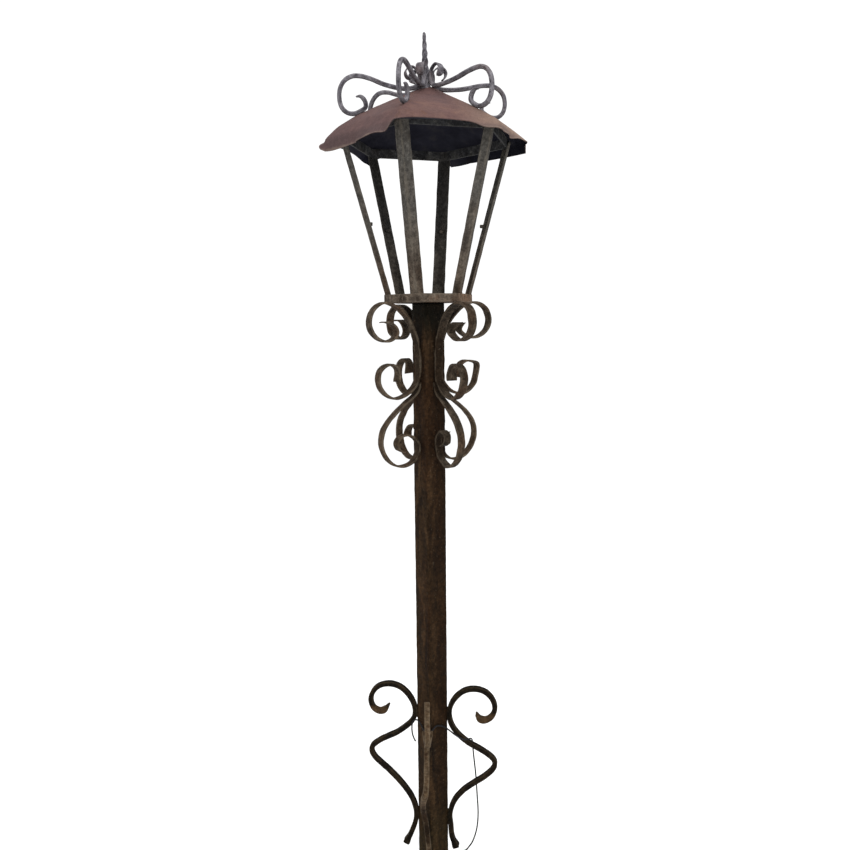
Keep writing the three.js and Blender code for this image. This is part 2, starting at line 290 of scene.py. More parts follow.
def rubber():
    g = Graph("rubber")
    dust = g.noise(60, 4)
    colour = g.ramp(dust, (0.35, tone(10, 11, 15)), (0.7, tone(28, 28, 32)))
    return g.finish(colour, g.range(dust, 0.3, 0.7, 0.45, 0.65), g.bump(g.noise(400, 2), 0.0003, 0.4), 0.2)


# ---- mesh tools --------------------------------------------------------------------------------

def lumps(points, size, seed=0):
    """Smooth noise from about -1 to 1 at each point (mm), with lumps about size mm across."""
    shift = Vector((seed * 3.7, seed * 1.3, seed * 2.9))
    heights = [noise.noise(Vector(p) / size + shift) for p in points.reshape(-1, 3)]
    return np.array(heights).reshape(points.shape[:-1])


def smoothstep(x, low, high):
    t = np.clip((np.asarray(x, float) - low) / (high - low), 0, 1)
    return t * t * (3 - 2 * t)


def curve(points, step):
    """A centripetal Catmull-Rom curve through the points, resampled at even steps."""
    p = np.array(points, float)
    p = np.vstack([2 * p[0] - p[1], p, 2 * p[-1] - p[-2]])
    found = []
    for i in range(len(p) - 3):
        a, b, c, d = p[i : i + 4]
        t0 = 0.0
        t1 = t0 + math.sqrt(np.linalg.norm(b - a))
        t2 = t1 + math.sqrt(np.linalg.norm(c - b))
        t3 = t2 + math.sqrt(np.linalg.norm(d - c))
        t = np.linspace(t1, t2, 16, endpoint=False)[:, None]
        ab = (t1 - t) / (t1 - t0) * a + (t - t0) / (t1 - t0) * b
        bc = (t2 - t) / (t2 - t1) * b + (t - t1) / (t2 - t1) * c
        cd = (t3 - t) / (t3 - t2) * c + (t - t2) / (t3 - t2) * d
        abc = (t2 - t) / (t2 - t0) * ab + (t - t0) / (t2 - t0) * bc
        bcd = (t3 - t) / (t3 - t1) * bc + (t - t1) / (t3 - t1) * cd
        found.append((t2 - t) / (t2 - t1) * abc + (t - t1) / (t2 - t1) * bcd)
    fine = np.vstack(found + [p[-2:-1]])
    far = np.concatenate([[0], np.cumsum(np.linalg.norm(np.diff(fine, axis=0), axis=1))])
    at = np.linspace(0, far[-1], max(2, round(far[-1] / step)) + 1)
    return np.stack([np.interp(at, far, fine[:, k]) for k in range(fine.shape[1])], 1)


def bar_section(width, thick, radius, across=3, deep=0):
    """Points round a flat or square bar's section, width along x, with each one's share of edge wear."""
    x, y = width / 2 - radius, thick / 2 - radius
    points, wear = [], []
    for sx, sy, start, (ax, ay), count in (
        (1, -1, -90, (x + radius, 0), deep),
        (1, 1, 0, (0, y + radius), across),
        (-1, 1, 90, (-x - radius, 0), deep),
        (-1, -1, 180, (0, -y - radius), across),
    ):
        for k in range(3):
            a = math.radians(start + 45 * k)
            points.append((sx * x + radius * math.cos(a), sy * y + radius * math.sin(a)))
            wear.append((0.6, 1.0, 0.6)[k])
        for k in range(count):
            share = 1 - 2 * (k + 1) / (count + 1)
            if ax:
                points.append((ax, -share * y * sx))
            else:
                points.append((share * x * sx, ay))
            wear.append(0.1)
    return np.array(points), np.array(wear)


class Shape:
    """Faces gathered for one piece."""

    def __init__(self):
        self.points, self.faces, self.wear, self.paints = [], [], [], []

    def grid(self, rows, wear, closed=True, caps=True, paint=0, flip=False):
        """Faces between rows of points (mm). closed joins each row's ends, caps fill the end rows."""
        first = len(self.points)
        rows = np.asarray(rows)
        count, across = rows.shape[:2]
        self.points.extend((rows * MM).reshape(-1, 3).tolist())
        self.wear.extend(np.broadcast_to(wear, (count, across)).reshape(-1).tolist())
        for i in range(count - 1):
            for j in range(across if closed else across - 1):
                k = (j + 1) % across
                a, b = first + i * across, first + (i + 1) * across
                face = (a + j, a + k, b + k, b + j)
                self.faces.append(face[::-1] if flip else face)
                self.paints.append(paint)
        if caps:
            self.faces.append(tuple(first + j for j in reversed(range(across))))
            self.faces.append(tuple(first + (count - 1) * across + j for j in range(across)))
            self.paints += [paint, paint]
        return self

    def piece(self, name, paints, replaced, slot):
        mesh = bpy.data.meshes.new(name)
        mesh.from_pydata(self.points, [], self.faces)
        mesh.attributes.new("wear", "FLOAT", "POINT").data.foreach_set("value", self.wear)
        for paint in paints:
            mesh.materials.append(paint)
        mesh.polygons.foreach_set("material_index", self.paints)
        mesh.polygons.foreach_set("use_smooth", [True] * len(self.faces))
        made = bpy.data.objects.new(name, mesh)
        scene.collection.objects.link(made)
        made.modifiers.new("normals", "WEIGHTED_NORMAL").weight = 80
        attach(made, "root")
        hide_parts(*replaced)
        return made


def unit(v):
    return v / np.linalg.norm(v, axis=-1, keepdims=True)


def sweep(shape, path, side, size, radius, across=3, deep=0, rough=0.4, wander=0.0, tails=(0, 0), seed=0):
    """Sweeps a flat or square bar along path (mm). side is the direction of its width.

    size(from_start, to_end) gives (width, thickness). rough is how far its faces are hammered in and out, and
    wander how far its edges are. tails are how far the corners stand beyond the middle at each end.
    """
    path = np.asarray(path, float)
    along = unit(np.gradient(path, axis=0))
    across_it = unit(side - (along @ np.asarray(side, float))[:, None] * along)
    out = np.cross(along, across_it)
    far = np.concatenate([[0], np.cumsum(np.linalg.norm(np.diff(path, axis=0), axis=1))])
    rows, wear = [], []
    for i, (p, a, s, n) in enumerate(zip(path, along, across_it, out)):
        width, thick = size(far[i], far[-1] - far[i])
        if i in (0, len(path) - 1):
            width, thick = width - 0.6 * radius, thick - 0.9 * radius
        section, edge = bar_section(width, thick, min(radius, thick * 0.35), across, deep)
        reach = (section[:, 0] / (width / 2)) ** 2
        tail = -tails[0] * max(0, 1 - far[i] / 14) + tails[1] * max(0, 1 - (far[-1] - far[i]) / 14)
        rows.append(p + section[:, :1] * s + section[:, 1:] * n + (reach * tail)[:, None] * a)
        wear.append(edge)
    rows = np.array(rows)
    middle = path[:, None, :]
    away = unit(rows - middle)
    rows = rows + away * (rough * (lumps(rows, 17, seed) + 0.5 * lumps(rows, 7, seed + 5)))[..., None]
    if wander:
        share = ((rows - middle) * across_it[:, None, :]).sum(-1)
        shift = wander * np.stack([lumps(path + 300 * k, 23, seed + k) for k in (1, 2)], 1)
        moved = np.where(share > 0, shift[:, :1], shift[:, 1:]) * np.abs(share) / np.abs(share).max()
        rows = rows + moved[..., None] * across_it[:, None, :]
    return shape.grid(rows, np.array(wear))


def bead(shape, points, radius, seed=0):
    """A lumpy weld bead along the points (mm)."""
    path = curve(points, radius * 0.45)
    along = unit(np.gradient(path, axis=0))
    side = unit(np.cross(along, [0.31, 0.22, 0.93]))
    out = np.cross(along, side)
    share = np.linspace(-1, 1, len(path))
    girth = radius * np.sqrt(np.clip(1 - share**4, 0.08, 1)) * (1 + 0.25 * np.cos(np.arange(len(path)) * 2.1))
    angle = np.linspace(0, 2 * math.pi, 10, endpoint=False)
    rows = path[:, None] + girth[:, None, None] * (
        np.cos(angle)[None, :, None] * side[:, None] + np.sin(angle)[None, :, None] * out[:, None]
    )
    rows += 0.25 * radius * lumps(rows, radius * 1.5, seed)[..., None]
    return shape.grid(rows, 0.35)


def turned(degrees):
    """(outwards, sideways) unit vectors in the ground plane for a direction round the post."""
    a = math.radians(degrees)
    return np.array([math.cos(a), math.sin(a), 0]), np.array([-math.sin(a), math.cos(a), 0])


def placed(route, degrees, shift=0.0):
    """A route of (distance from the post's axis, height) as points in space."""
    out, side = turned(degrees)
    r = np.array([p[0] for p in route], float)[:, None]
    z = np.array([p[1] for p in route], float)[:, None]
    return r * out + z * np.array([0, 0, 1.0]) + shift * side


# ---- the lead ----------------------------------------------------------------------------------

LEAD_ROUTE = [
    (34.4, 25.2, 42), (40.5, 29.8, 42), (47.5, 34.6, 42.5), (58, 38, 45), (71, 35, 50), (83, 24, 60),
    (92, 10, 74), (99, 1, 90), (108, -2, 106), (116, -2, 127), (121.5, -2, 150), (124.5, -2, 178),
    (125, -2, 204), (123.8, -2, 229), (122.3, -2, 253), (121, -2, 277), (119.5, -2, 301),
    (117.5, -2, 325), (115, -2, 349), (112.6, -2, 372), (111, -2, 392), (110, -3, 406), (108.5, -7, 418),
    (105, -13, 425.5), (98.5, -19.5, 428), (90, -23.5, 428), (80, -25, 431.5), (68, -24.5, 438),
    (56, -22, 446), (44, -19.5, 455), (33, -20, 463.5), (21.5, -26, 471), (10.5, -34.5, 475),
    (1.5, -41.5, 470), (-7, -45, 461.5), (-16, -39, 456.5), (-24.5, -27, 461.5), (-31, -17.5, 470),
    (-37.5, -10.5, 476.8), (-44.5, -6.8, 478.5), (-50.8, -5.5, 475.2), (-54.8, -5, 467),
    (-56.3, -5, 454), (-55.2, -5, 438), (-51.8, -5, 425), (-47, -5, 414.6),
]
LEAD_DIAMETER = 4


def make_lead(paint):
    points = curve(LEAD_ROUTE, 5) * MM
    data = bpy.data.curves.new("lead", "CURVE")
    data.dimensions = "3D"
    data.bevel_depth = LEAD_DIAMETER / 2 * MM
    data.bevel_resolution = 3
    data.use_fill_caps = True
    line = data.splines.new("POLY")
    line.points.add(len(points) - 1)
    for point, place in zip(line.points, points):
        point.co = (*place, 1)
    data.materials.append(paint)
    lead = bpy.data.objects.new("loose_lead", data)
    scene.collection.objects.link(lead)
    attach(lead, "root")
    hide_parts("lead")


# ---- post and its scrolls ----------------------------------------------------------------------

POST_SIDE, POST_CORNER, POST_TURN = 61.2, 5, 36.3
CAPITAL_ROUTE = [
    (146, 1550), (131, 1555), (115, 1552), (101, 1541), (98, 1527), (108, 1515), (129, 1510), (154, 1518),
    (170, 1534), (175, 1555), (168, 1578), (151, 1593), (131, 1599), (110, 1596), (91, 1587), (74, 1573),
    (59, 1554), (47, 1530), (38, 1502), (34, 1470), (33, 1440), (35, 1418), (46, 1396), (66, 1378),
    (87, 1369), (109, 1366), (131, 1375), (149, 1393), (156, 1415), (151, 1435), (135, 1448), (116, 1451),
    (102, 1443), (97, 1428), (99, 1410),
]
LOWER_ROUTE = [
    (33, 1403), (35.5, 1388), (48, 1371), (72, 1355), (101, 1334), (126, 1312), (144, 1288), (150, 1265),
    (148, 1243), (137, 1221), (117, 1201), (92, 1192), (67, 1195), (47, 1209), (38, 1228), (40, 1248),
    (54, 1264), (74, 1271), (94, 1267), (104, 1253), (100, 1238), (84, 1228),
]
TIGHT_ROLL = [(66, 1201), (49, 1215), (39, 1237), (40, 1262), (60, 1280), (80, 1272), (80, 1253), (64, 1243)]
FOOT_ROUTE = [
    (121, 509), (131, 496), (146, 491), (163, 499), (171, 521), (165, 544), (147, 564), (118, 572),
    (90, 566), (67, 547), (52, 522), (47, 496), (54, 472), (73, 451), (99, 431), (129, 415),
    (155, 399), (169, 385), (171, 371), (164, 356), (143, 335), (116, 311), (88, 281), (64, 248),
    (52, 221), (47, 194), (51, 165), (63, 131), (77, 101),
]
FOOT_CONTACTS = (496, 194)  # heights where the foot bars are welded to the post's corners
POST_EDGE = 42  # the post's corner edges, from its axis
ELBOW_LOW, ELBOW_HIGH = (250, 340), (440, 510)  # heights over which an elbow's sag sets in and fades out
STRAIGHT = [(0, 0)]
# How each hand-bent foot bar differs: its turn about the post's corner, its elbow's sag, the spread of its
# upper end, its nudges, and its drift sideways as (height, distance).
FOOTS = [
    (0, 0, 6, [], STRAIGHT),
    (0, 0, 6, [], STRAIGHT),
    (9, 0, 13, [], [(101, -4), (194, -13), (260, -22), (330, -20), (390, -12), (480, -8), (571, -8)]),
    (0, 15, 6, [(70, 110, 40, -14, 0), (121, 505, 26, 0, -9)], STRAIGHT),
]


def stretched(route, reach, low_reach=None, split=1470):
    """The route with its distance from the post's face multiplied, differently above and below split."""
    face = min(r for r, _ in route)
    if low_reach is None:
        low_reach = reach
    return [(face + (r - face) * (reach if z > split else low_reach), z) for r, z in route]


def nudged(route, nudges):
    """The route pulled about by hand: each nudge is (distance out, height, its spread, outwards, up)."""
    moved = []
    for r, z in route:
        pulls = [
            (math.exp(-((r - nr) ** 2 + (z - nz) ** 2) / spread**2), out, up)
            for nr, nz, spread, out, up in nudges
        ]
        moved.append((r + sum(w * out for w, out, _ in pulls), z + sum(w * up for w, _, up in pulls)))
    return moved


def sagging(route, sag):
    """The route with its elbow bent down by sag."""
    return [(r, z - sag * smoothstep(z, *ELBOW_LOW) * (1 - smoothstep(z, *ELBOW_HIGH))) for r, z in route]


def trimmed(path, start, end):
    """The path without so many mm at its start and end."""
    step = np.linalg.norm(path[1] - path[0])
    return path[round(start / step) : len(path) - round(end / step)]


def make_post(paint):
    shape = Shape()
    heights = np.linspace(10.3, 1602.7, 260)
    section, edge = bar_section(POST_SIDE, POST_SIDE, POST_CORNER, 8, 8)
    out, side = turned(POST_TURN)
    flat = section[:, :1] * out + section[:, 1:] * side
    rows = flat[None] + heights[:, None, None] * np.array([0, 0, 1.0])
    push = 0.6 * lumps(rows, 34, 1) + 0.5 * lumps(rows, 11, 2)
    z = rows[..., 2]
    push += 1.1 * lumps(rows, 15, 3) * smoothstep(z, 1150, 1300) * (1 - smoothstep(z, 1560, 1600))
    rows += push[..., None] * unit(flat)[None]
    shape.grid(rows, edge * 0.3)
    corners = ((1, 1), (-1, 1), (-1, -1), (1, -1), (1, 1))
    foot = [(0.5 + POST_SIDE / 2) * (a * out + b * side) + [0, 0, 11.5] for a, b in corners]
    for k in range(4):
        bead(shape, [foot[k], (foot[k] + foot[k + 1]) / 2, foot[k + 1]], 3.6, k)
    for k in range(4):
        corner = 41.5 * turned(POST_TURN + 45 + 90 * k)[0]
        for height in FOOT_CONTACTS:
            bead(shape, [corner + [0, 0, height + h] for h in (-17, 0, 19)], 4.2, 5 + k)
    shape.piece("square_post", [paint], ["post"], "post_iron")


# How each hand-bent strap differs from the shared route. First its reach above and below the middle, its
# sideways shift and its turn; then how far its upper and lower ends are cut short, and its nudges.
CAPITALS = [
    (1.19, 1.0, 0, 0, 60, 0, [(105, 1530, 22, -12, 6), (165, 1575, 60, 0, 8), (152, 1440, 17, 9, 9)]),
    (1.0, 0.88, 0, 0, 13, 10, [(120, 1553, 24, 2, 6), (110, 1445, 45, -6, 6)]),
    (1.02, 1.0, 0, 0, 12, 0, [(140, 1600, 35, 0, 3), (140, 1512, 30, 0, -2)]),
    (1.07, 0.94, 8, -5, 35, 4, [(98, 1530, 20, -9, 2)]),
]
# The lower straps: reach, how far the roll is lifted, how much is cut off its end, and whether it is tight.
LOWERS = [(1.0, 0, 88, False), (0.9, 13, 30, False), (1.0, 0, 0, False), (0.84, 0, 0, True)]


def make_scrolls(strap_paints, foot_paints):
    for i, (reach, low_reach, shift, turn, cut, low_cut, nudges) in enumerate(CAPITALS):
        degrees = POST_TURN + 90 * i + turn
        route = nudged(stretched(CAPITAL_ROUTE, reach, low_reach), nudges)
        path = trimmed(curve(placed(route, degrees, shift), 3.2), cut, low_cut)

        def size(start, end):
            ends = 1 - min(smoothstep(start, 4, 30), smoothstep(end, 4, 30))
            return 23 + 8 * ends, 5 - 2 * ends

        shape = sweep(
            Shape(), path, turned(degrees)[1], size,
            radius=1.1, across=4, rough=0.6, wander=2.1, tails=(3, 3), seed=10 + i,
        )
        shape.piece(f"capital_strap_{i + 1}", [strap_paints[i]], [f"capital_scroll_{i + 1}"], "strap_iron")

    for i, (reach, lift, cut, tight) in enumerate(LOWERS):
        degrees = POST_TURN + 90 * i
        route = LOWER_ROUTE[:12] + TIGHT_ROLL if tight else LOWER_ROUTE
        route = nudged(stretched(route, reach), [(70, 1262, 34, 0, lift)])
        path = trimmed(curve(placed(route, degrees), 3.2), 0, cut)

        def size(start, end):
            ends = 1 - smoothstep(end, 4, 30)
            return 21 + 4 * ends, 5 - 2 * ends

        shape = sweep(
            Shape(), path, turned(degrees)[1], size,
            radius=1.1, across=4, rough=0.6, wander=2.1, tails=(0, 3), seed=20 + i,
        )
        shape.piece(f"lower_strap_{i + 1}", [strap_paints[i]], [f"lower_scroll_{i + 1}"], "strap_iron")

    for i, paint in enumerate(foot_paints):
        degrees = POST_TURN + 45 + 90 * i
        turn, sag, spread, nudges, drift = FOOTS[i]
        route = sagging(nudged(FOOT_ROUTE, nudges), sag)
        from_edge = [(r - POST_EDGE, z) for r, z in route]
        points = placed(from_edge, degrees + turn) + POST_EDGE * turned(degrees)[0]
        points += np.interp(points[:, 2], *zip(*drift))[:, None] * turned(degrees + turn)[1]
        path = curve(points, 3.6)

        def size(start, end):
            bulge = smoothstep(start, 0, 20) * (1 - smoothstep(start, 26, 66))
            hoof = 1 - smoothstep(end, 4, 22)
            width = 14 + spread * (1 - smoothstep(start, 4, 44)) + 4 * hoof
            return width, 7 + 6.5 * smoothstep(start, 0, 22) + 2 * bulge + 5 * hoof

        shape = sweep(
            Shape(), path, turned(degrees + turn)[1], size,
            radius=1.8, across=2, deep=1, rough=0.5, wander=0.7, tails=(2, 1), seed=30 + i,
        )
        shape.piece(f"foot_bar_{i + 1}", [paint], [f"foot_scroll_{i + 1}"], "post_iron")


# ---- lantern -----------------------------------------------------------------------------------

CAGE_TURN = 14.4
RING_TOP, RING_HEIGHT = 1623, 20
CAGE_SLOPE = 0.2756
BAR_LEG = 20
SHADED_BARS = (1, 2)  # the two at the back, which are darker
BAR_HEAD = 2003  # low enough to clear the roof sheets
# How far each corner bar's foot and head stand aside (mm along X): the cage was set up by eye.
BAR_SHIFTS = [(3, 4.5), (0.5, -5.5), (-1, -1), (1, -0.5), (0.5, -1), (-0.5, 0.5)]


def hexagon_band(shape, radius, thick, low, high, seed, shifts):
    """A six-sided hoop of flat bar, a little out of true. Its outer corners are at radius, but for shifts."""
    cosine = math.cos(math.pi / 6)
    section, edge = bar_section(high - low, thick, 1.0, 3, 0)
    rows, wear = [], []
    steps = 12
    for i in range(6):
        a, b = (radius * turned(CAGE_TURN + 60 * (i + k))[0] + [shifts[(i + k) % 6], 0, 0] for k in (0, 1))
        for k in range(steps):
            share = k / steps
            outer = a + (b - a) * share
            if k == 0:
                inwards = -turned(CAGE_TURN + 60 * i)[0] / cosine
            else:
                inwards = -turned(CAGE_TURN + 60 * i + 30)[0]
            lifted = (section[:, :1] + (low + high) / 2) * [0, 0, 1.0]
            rows.append(outer + inwards * (thick / 2 - section[:, 1:]) + lifted)
            wear.append(edge)
    rows = np.array(rows)
    rows += 0.35 * lumps(rows, 22, seed)[..., None] * unit(rows * [1, 1, 0])
    rows[..., 2] += 0.5 * lumps(rows, 45, seed + 1)
    return shape.grid(np.vstack([rows, rows[:1]]), np.array(wear + wear[:1]), caps=False)


def make_bar(i, paint):
    """A leaning corner bar of angle section, its legs along the hexagon's sides."""
    out, side = turned(CAGE_TURN + 60 * i)
    leg, thick, r = BAR_LEG, 3, 0.9
    cosine, half = math.cos(math.pi / 6), 0.5
    along = np.array([-half, cosine])
    inwards = np.array([-cosine, -half])
    tip = along * leg
    inner = np.array([-thick / cosine, 0])
    one = [
        (np.array([0, 0]), 0.9),
        (along * leg * 0.33, 0.15), (along * leg * 0.7, 0.15), (tip - along * r, 0.5),
        (tip + inwards * r * 0.6, 1), (tip + inwards * (thick - 0.6 * r), 1),
        (tip + inwards * thick - along * r, 0.5),
        (inner + (tip + inwards * thick - inner) * 0.45, 0.1),
        (inner, 0.1),
    ]
    outline = one + [(p * [1, -1], w) for p, w in reversed(one[1:-1])]
    local = np.array([p for p, _ in outline])
    wear = np.array([w for _, w in outline])
    heights = np.linspace(RING_TOP - 3, BAR_HEAD, 64)
    radius = 111.8 + CAGE_SLOPE * (heights - RING_TOP)
    rows = (
        (radius[:, None] + local[None, :, 0])[..., None] * out
        + local[None, :, 1][..., None] * side
        + heights[:, None, None] * np.array([0, 0, 1.0])
    )
    rows[..., 0] += np.interp(heights, (heights[0], heights[-1]), BAR_SHIFTS[i])[:, None]
    rows += 0.4 * lumps(rows, 19, 50 + i)[..., None] * out
    tips = np.abs(local[:, 1]) > 14
    rows += (0.9 * lumps(rows, 21, 60 + i) * tips)[..., None] * side
    shape = Shape().grid(rows, wear)
    foot = radius[0] * out + [BAR_SHIFTS[i][0], 0, RING_TOP + 1]
    for sign in (1, -1):  # weld beads along the legs' feet
        leg_way = -half * out + sign * cosine * side
        bead(shape, [foot + leg_way * d for d in (1, 10, 19)], 2.6, 70 + i)
    shape.piece(f"angle_bar_{i + 1}", [paint], [f"corner_bar_{i + 1}"], "cage_iron")


def make_lantern(ring_paint, frame_paint, bar_paints):
    feet, heads = zip(*BAR_SHIFTS)
    shape = hexagon_band(Shape(), 114, 5, RING_TOP - RING_HEIGHT, RING_TOP, 40, feet)
    shape.piece("cage_ring", [ring_paint], ["lantern_ring"], "cage_iron")
    shape = hexagon_band(Shape(), 208.6, 4, 1988, 2012, 43, heads)
    shape.piece("cage_frame", [frame_paint], ["upper_frame"], "cage_iron")
    for i, paint in enumerate(bar_paints):
        make_bar(i, paint)


# ---- roof, crown and finial --------------------------------------------------------------------

# Each ridge outwards: (radius, height) at the peak, at two places down it, and at the eave's two folds.
RIDGES = [
    [(10, 2125), (122, 2084), (180, 2060), (222, 2036), (262, 2010)],  # right
    [(10, 2128), (120, 2080), (170, 2058), (214, 2034), (245, 2004)],  # back right
    [(10, 2122), (120, 2073), (165, 2049), (201, 2028), (227, 2000)],  # back left
    [(10, 2119), (112, 2077), (169, 2049), (220, 2017), (251, 1987)],  # left
    [(10, 2117), (120, 2065), (172, 2041), (212, 2020), (236, 1993)],  # front left
    [(10, 2120), (120, 2064), (161, 2044), (209, 2015), (235, 1999)],  # front right
]
# Each side's lip: its height at its first corner, in its middle and at its second corner.
LIPS = [
    (1978, 1978, 1984),  # right to back right
    (1984, 2010, 1970),  # back
    (1970, 1996, 1960),  # back left to left
    (1960, 1965, 1984),  # left to front left
    (1984, 1990, 1975),  # front
    (1975, 1986, 2000),  # front right to right
]
# Dents knocked into the lips since: (side, share of the way, width as a share, how far up).
DENTS = [(3, 0.88, 0.1, -8), (4, 0.8, 0.1, -6), (5, 0.3, 0.1, -4)]
RIDGE_TURNS = [0, 0, -3, 0, 0, 0]  # how far each ridge is turned from the cage's corner, degrees
RISES = [0, 15, 13, 0, 0, 0]  # how far the middle of each side's eave is bent up
# The share of the skirt's spread at each side's ends.
FLARE_KEPT = [(0, 1), (1, 1), (1, 1), (1, 1), (1, 1), (1, 0)]
RISE_SHARES = (0, 0, 0.1, 0.4, 1)  # how much of the rise each place down the ridge takes
SKIRT, SHEET = 26, 1.6
RIDGE_STEPS = (10, 5, 6, 5, 5)  # rows of faces between the ridge's places, and down the skirt
MITRE = math.tan(math.pi / 6)


def lip_height(side, across):
    """The lip's height at each share of the way along a side: flat in its middle, bent at the corners."""
    first, middle, last = LIPS[side]
    towards_corner = 2 * across - 1
    height = first + (last - first) * across + (middle - (first + last) / 2) * (1 - towards_corner**4)
    for dented, place, width, up in DENTS:
        if dented == side:
            height += up * np.exp(-(((across - place) / width) ** 2)) * (1 - towards_corner**8)
    return height


# inside is the underside's nearly black paint, a painted shade
def make_roof(outside, inside):
    columns = 37
    across = np.linspace(0, 1, columns)
    up = np.array([0, 0, 1.0])
    for i in range(6):
        (a_out, a_side), (b_out, b_side) = (
            turned(CAGE_TURN + 60 * k + RIDGE_TURNS[k % 6]) for k in (i, i + 1)
        )
        face, along_side = turned(CAGE_TURN + 60 * i + 30)
        lines = []
        for (ra, za), (rb, zb), rise in zip(RIDGES[i], RIDGES[(i + 1) % 6], RISE_SHARES):
            a, b = ra * a_out + za * up, rb * b_out + zb * up
            bow = rise * RISES[i] * 4 * across * (1 - across)
            lines.append(a + (b - a) * across[:, None] + bow[:, None] * up)
        drop = lines[-1][:, 2] - lip_height(i, across)
        kept = np.interp(across, (0, 0.3, 0.7, 1), (FLARE_KEPT[i][0], 1, 1, FLARE_KEPT[i][1]))
        flare = kept * np.sqrt(np.clip(SKIRT**2 - drop**2, 0, None))
        spread = face + (MITRE * (2 * across - 1))[:, None] * along_side
        lines.append(lines[-1] + flare[:, None] * spread - drop[:, None] * up)
        rows = []
        for k, count in enumerate(RIDGE_STEPS):
            rows += [lines[k] + (lines[k + 1] - lines[k]) * j / count for j in range(count)]
        rows = np.array(rows + [lines[-1]])
        bend = rows.copy()  # the folds are rounded
        bend[1:-1] = 0.5 * rows[1:-1] + 0.25 * (rows[:-2] + rows[2:])
        rows = bend
        dents = 2.0 * lumps(rows, 95, 70) + 1.0 * lumps(rows, 33, 71)
        far = np.linalg.norm(rows[..., :2], axis=-1)
        rows[..., 2] += dents * smoothstep(far, 20, 90) * (1 - 0.6 * smoothstep(far, 170, 225))

        down = np.gradient(rows, axis=0)
        along = np.gradient(rows, axis=1)
        normal = unit(np.cross(down, along))
        for column, side in ((0, a_side), (-1, b_side)):
            n = normal[:, column]
            n = n - (n @ side)[:, None] * side
            normal[:, column] = n / (n**2).sum(-1, keepdims=True)
        under = rows - SHEET * normal
        wear = np.zeros(rows.shape[:2])
        wear[-1] = 1
        wear[-2] = 0.5
        wear[-6] = np.maximum(wear[-6], 0.35)
        wear[:, (0, -1)] = np.maximum(wear[:, (0, -1)], 0.3)

        shape = Shape()
        shape.grid(rows, wear, closed=False, caps=False)
        first = len(shape.points)
        # the underside takes the nearly black paint: a painted shade
        shape.grid(under, wear * 0, closed=False, caps=False, paint=1, flip=True)
        rim = (
            [(0, j) for j in range(columns - 1, -1, -1)]
            + [(r, 0) for r in range(1, len(rows))]
            + [(len(rows) - 1, j) for j in range(1, columns)]
            + [(r, columns - 1) for r in range(len(rows) - 2, 0, -1)]
        )
        for (r, c), (s, d) in zip(rim, rim[1:] + rim[:1]):
            a, b = r * columns + c, s * columns + d
            shape.faces.append((b, a, first + a, first + b))
            shape.paints.append(0)
        shape.piece(f"roof_sheet_{i + 1}", [outside, inside], [f"roof_panel_{i + 1}"], "roof_sheet")


CROWN_ROUTE = [
    (172, 2091), (160, 2092), (150, 2084), (148, 2071), (158, 2062.5), (175, 2055), (193, 2057),
    (206, 2069), (211, 2090), (207, 2110), (195, 2125), (178, 2133), (160, 2134), (138, 2131), (100, 2122),
    (60, 2117.5), (36, 2118.5), (23, 2124), (17.5, 2133), (16.5, 2147), (21, 2160), (33, 2168), (45, 2165),
    (51.5, 2154), (47, 2143), (40, 2139),
]
HEAD_TILT = 0.03  # the crown leans with the roof: rise per unit of X and of Y
# How each crown bar differs: its turn, its loop's lift and extra height, and how far out it stands.
CROWN_CHANGES = [(3, 1, -3, -2), (0, 0, 0, 0), (0, 10, 0, 0), (0, 2, 7, 2), (-1.2, -5, 9, 0), (0, -12, 7, 0)]


def make_crown(paint):
    for i, (turn, lift, tall, beyond) in enumerate(CROWN_CHANGES):
        degrees = CAGE_TURN + 60 * i + turn
        route = []
        for r, z in CROWN_ROUTE:
            loop = smoothstep(r, 60, 170)
            route.append((r + beyond * loop, z + loop * (lift + tall * smoothstep(z, 2062, 2132))))
        points = placed(route, degrees)
        points[:, 2] += HEAD_TILT * (points[:, 0] + points[:, 1])
        path = curve(points, 2.6)

        def size(start, end):
            taper = smoothstep(start, 0, 22)
            flat = 1 - smoothstep(end, 58, 90)
            spread = 1 - smoothstep(end, 26, 54)
            tip = 1 - smoothstep(end, 0, 9)
            width = (5 + 5.5 * taper) * (1 - flat) + flat * (10.5 + 9.5 * spread - 9 * tip)
            return width, (4 + 6.5 * taper) * (1 - flat) + flat * 3.2

        shape = sweep(
            Shape(), path, turned(degrees)[1], size,
            radius=4.2, across=1, deep=1, rough=0.3, wander=0.4, seed=80 + i,
        )
        shape.piece(f"crown_bar_{i + 1}", [paint], [f"crown_scroll_{i + 1}"], "crown_iron")


def make_finial(paint):
    low, high, wide, narrow, turns = 2116, 2248, 19, 6, 1.75
    heights = np.linspace(low, high, 110)
    rows, wear = [], []
    for z in heights:
        share = (z - low) / (high - low)
        side = wide + (narrow - wide) * share
        if share > 0.985:
            side *= 0.6
        section, edge = bar_section(side, side, side * 0.14, 2, 2)
        angle = 2 * math.pi * turns * share
        turn = np.array([[math.cos(angle), math.sin(angle)], [-math.sin(angle), math.cos(angle)]])
        flat = section @ turn
        rows.append(np.column_stack([flat[:, 0] - 3 * share, flat[:, 1], np.full(len(flat), z)]))
        wear.append(edge)
    rows = np.array(rows)
    rows[..., :2] += 0.35 * lumps(rows, 9, 90)[..., None] * unit(rows[..., :2])
    Shape().grid(rows, np.array(wear)).piece("twisted_finial", [paint], ["finial"], "crown_iron")


# ---- everything --------------------------------------------------------------------------------

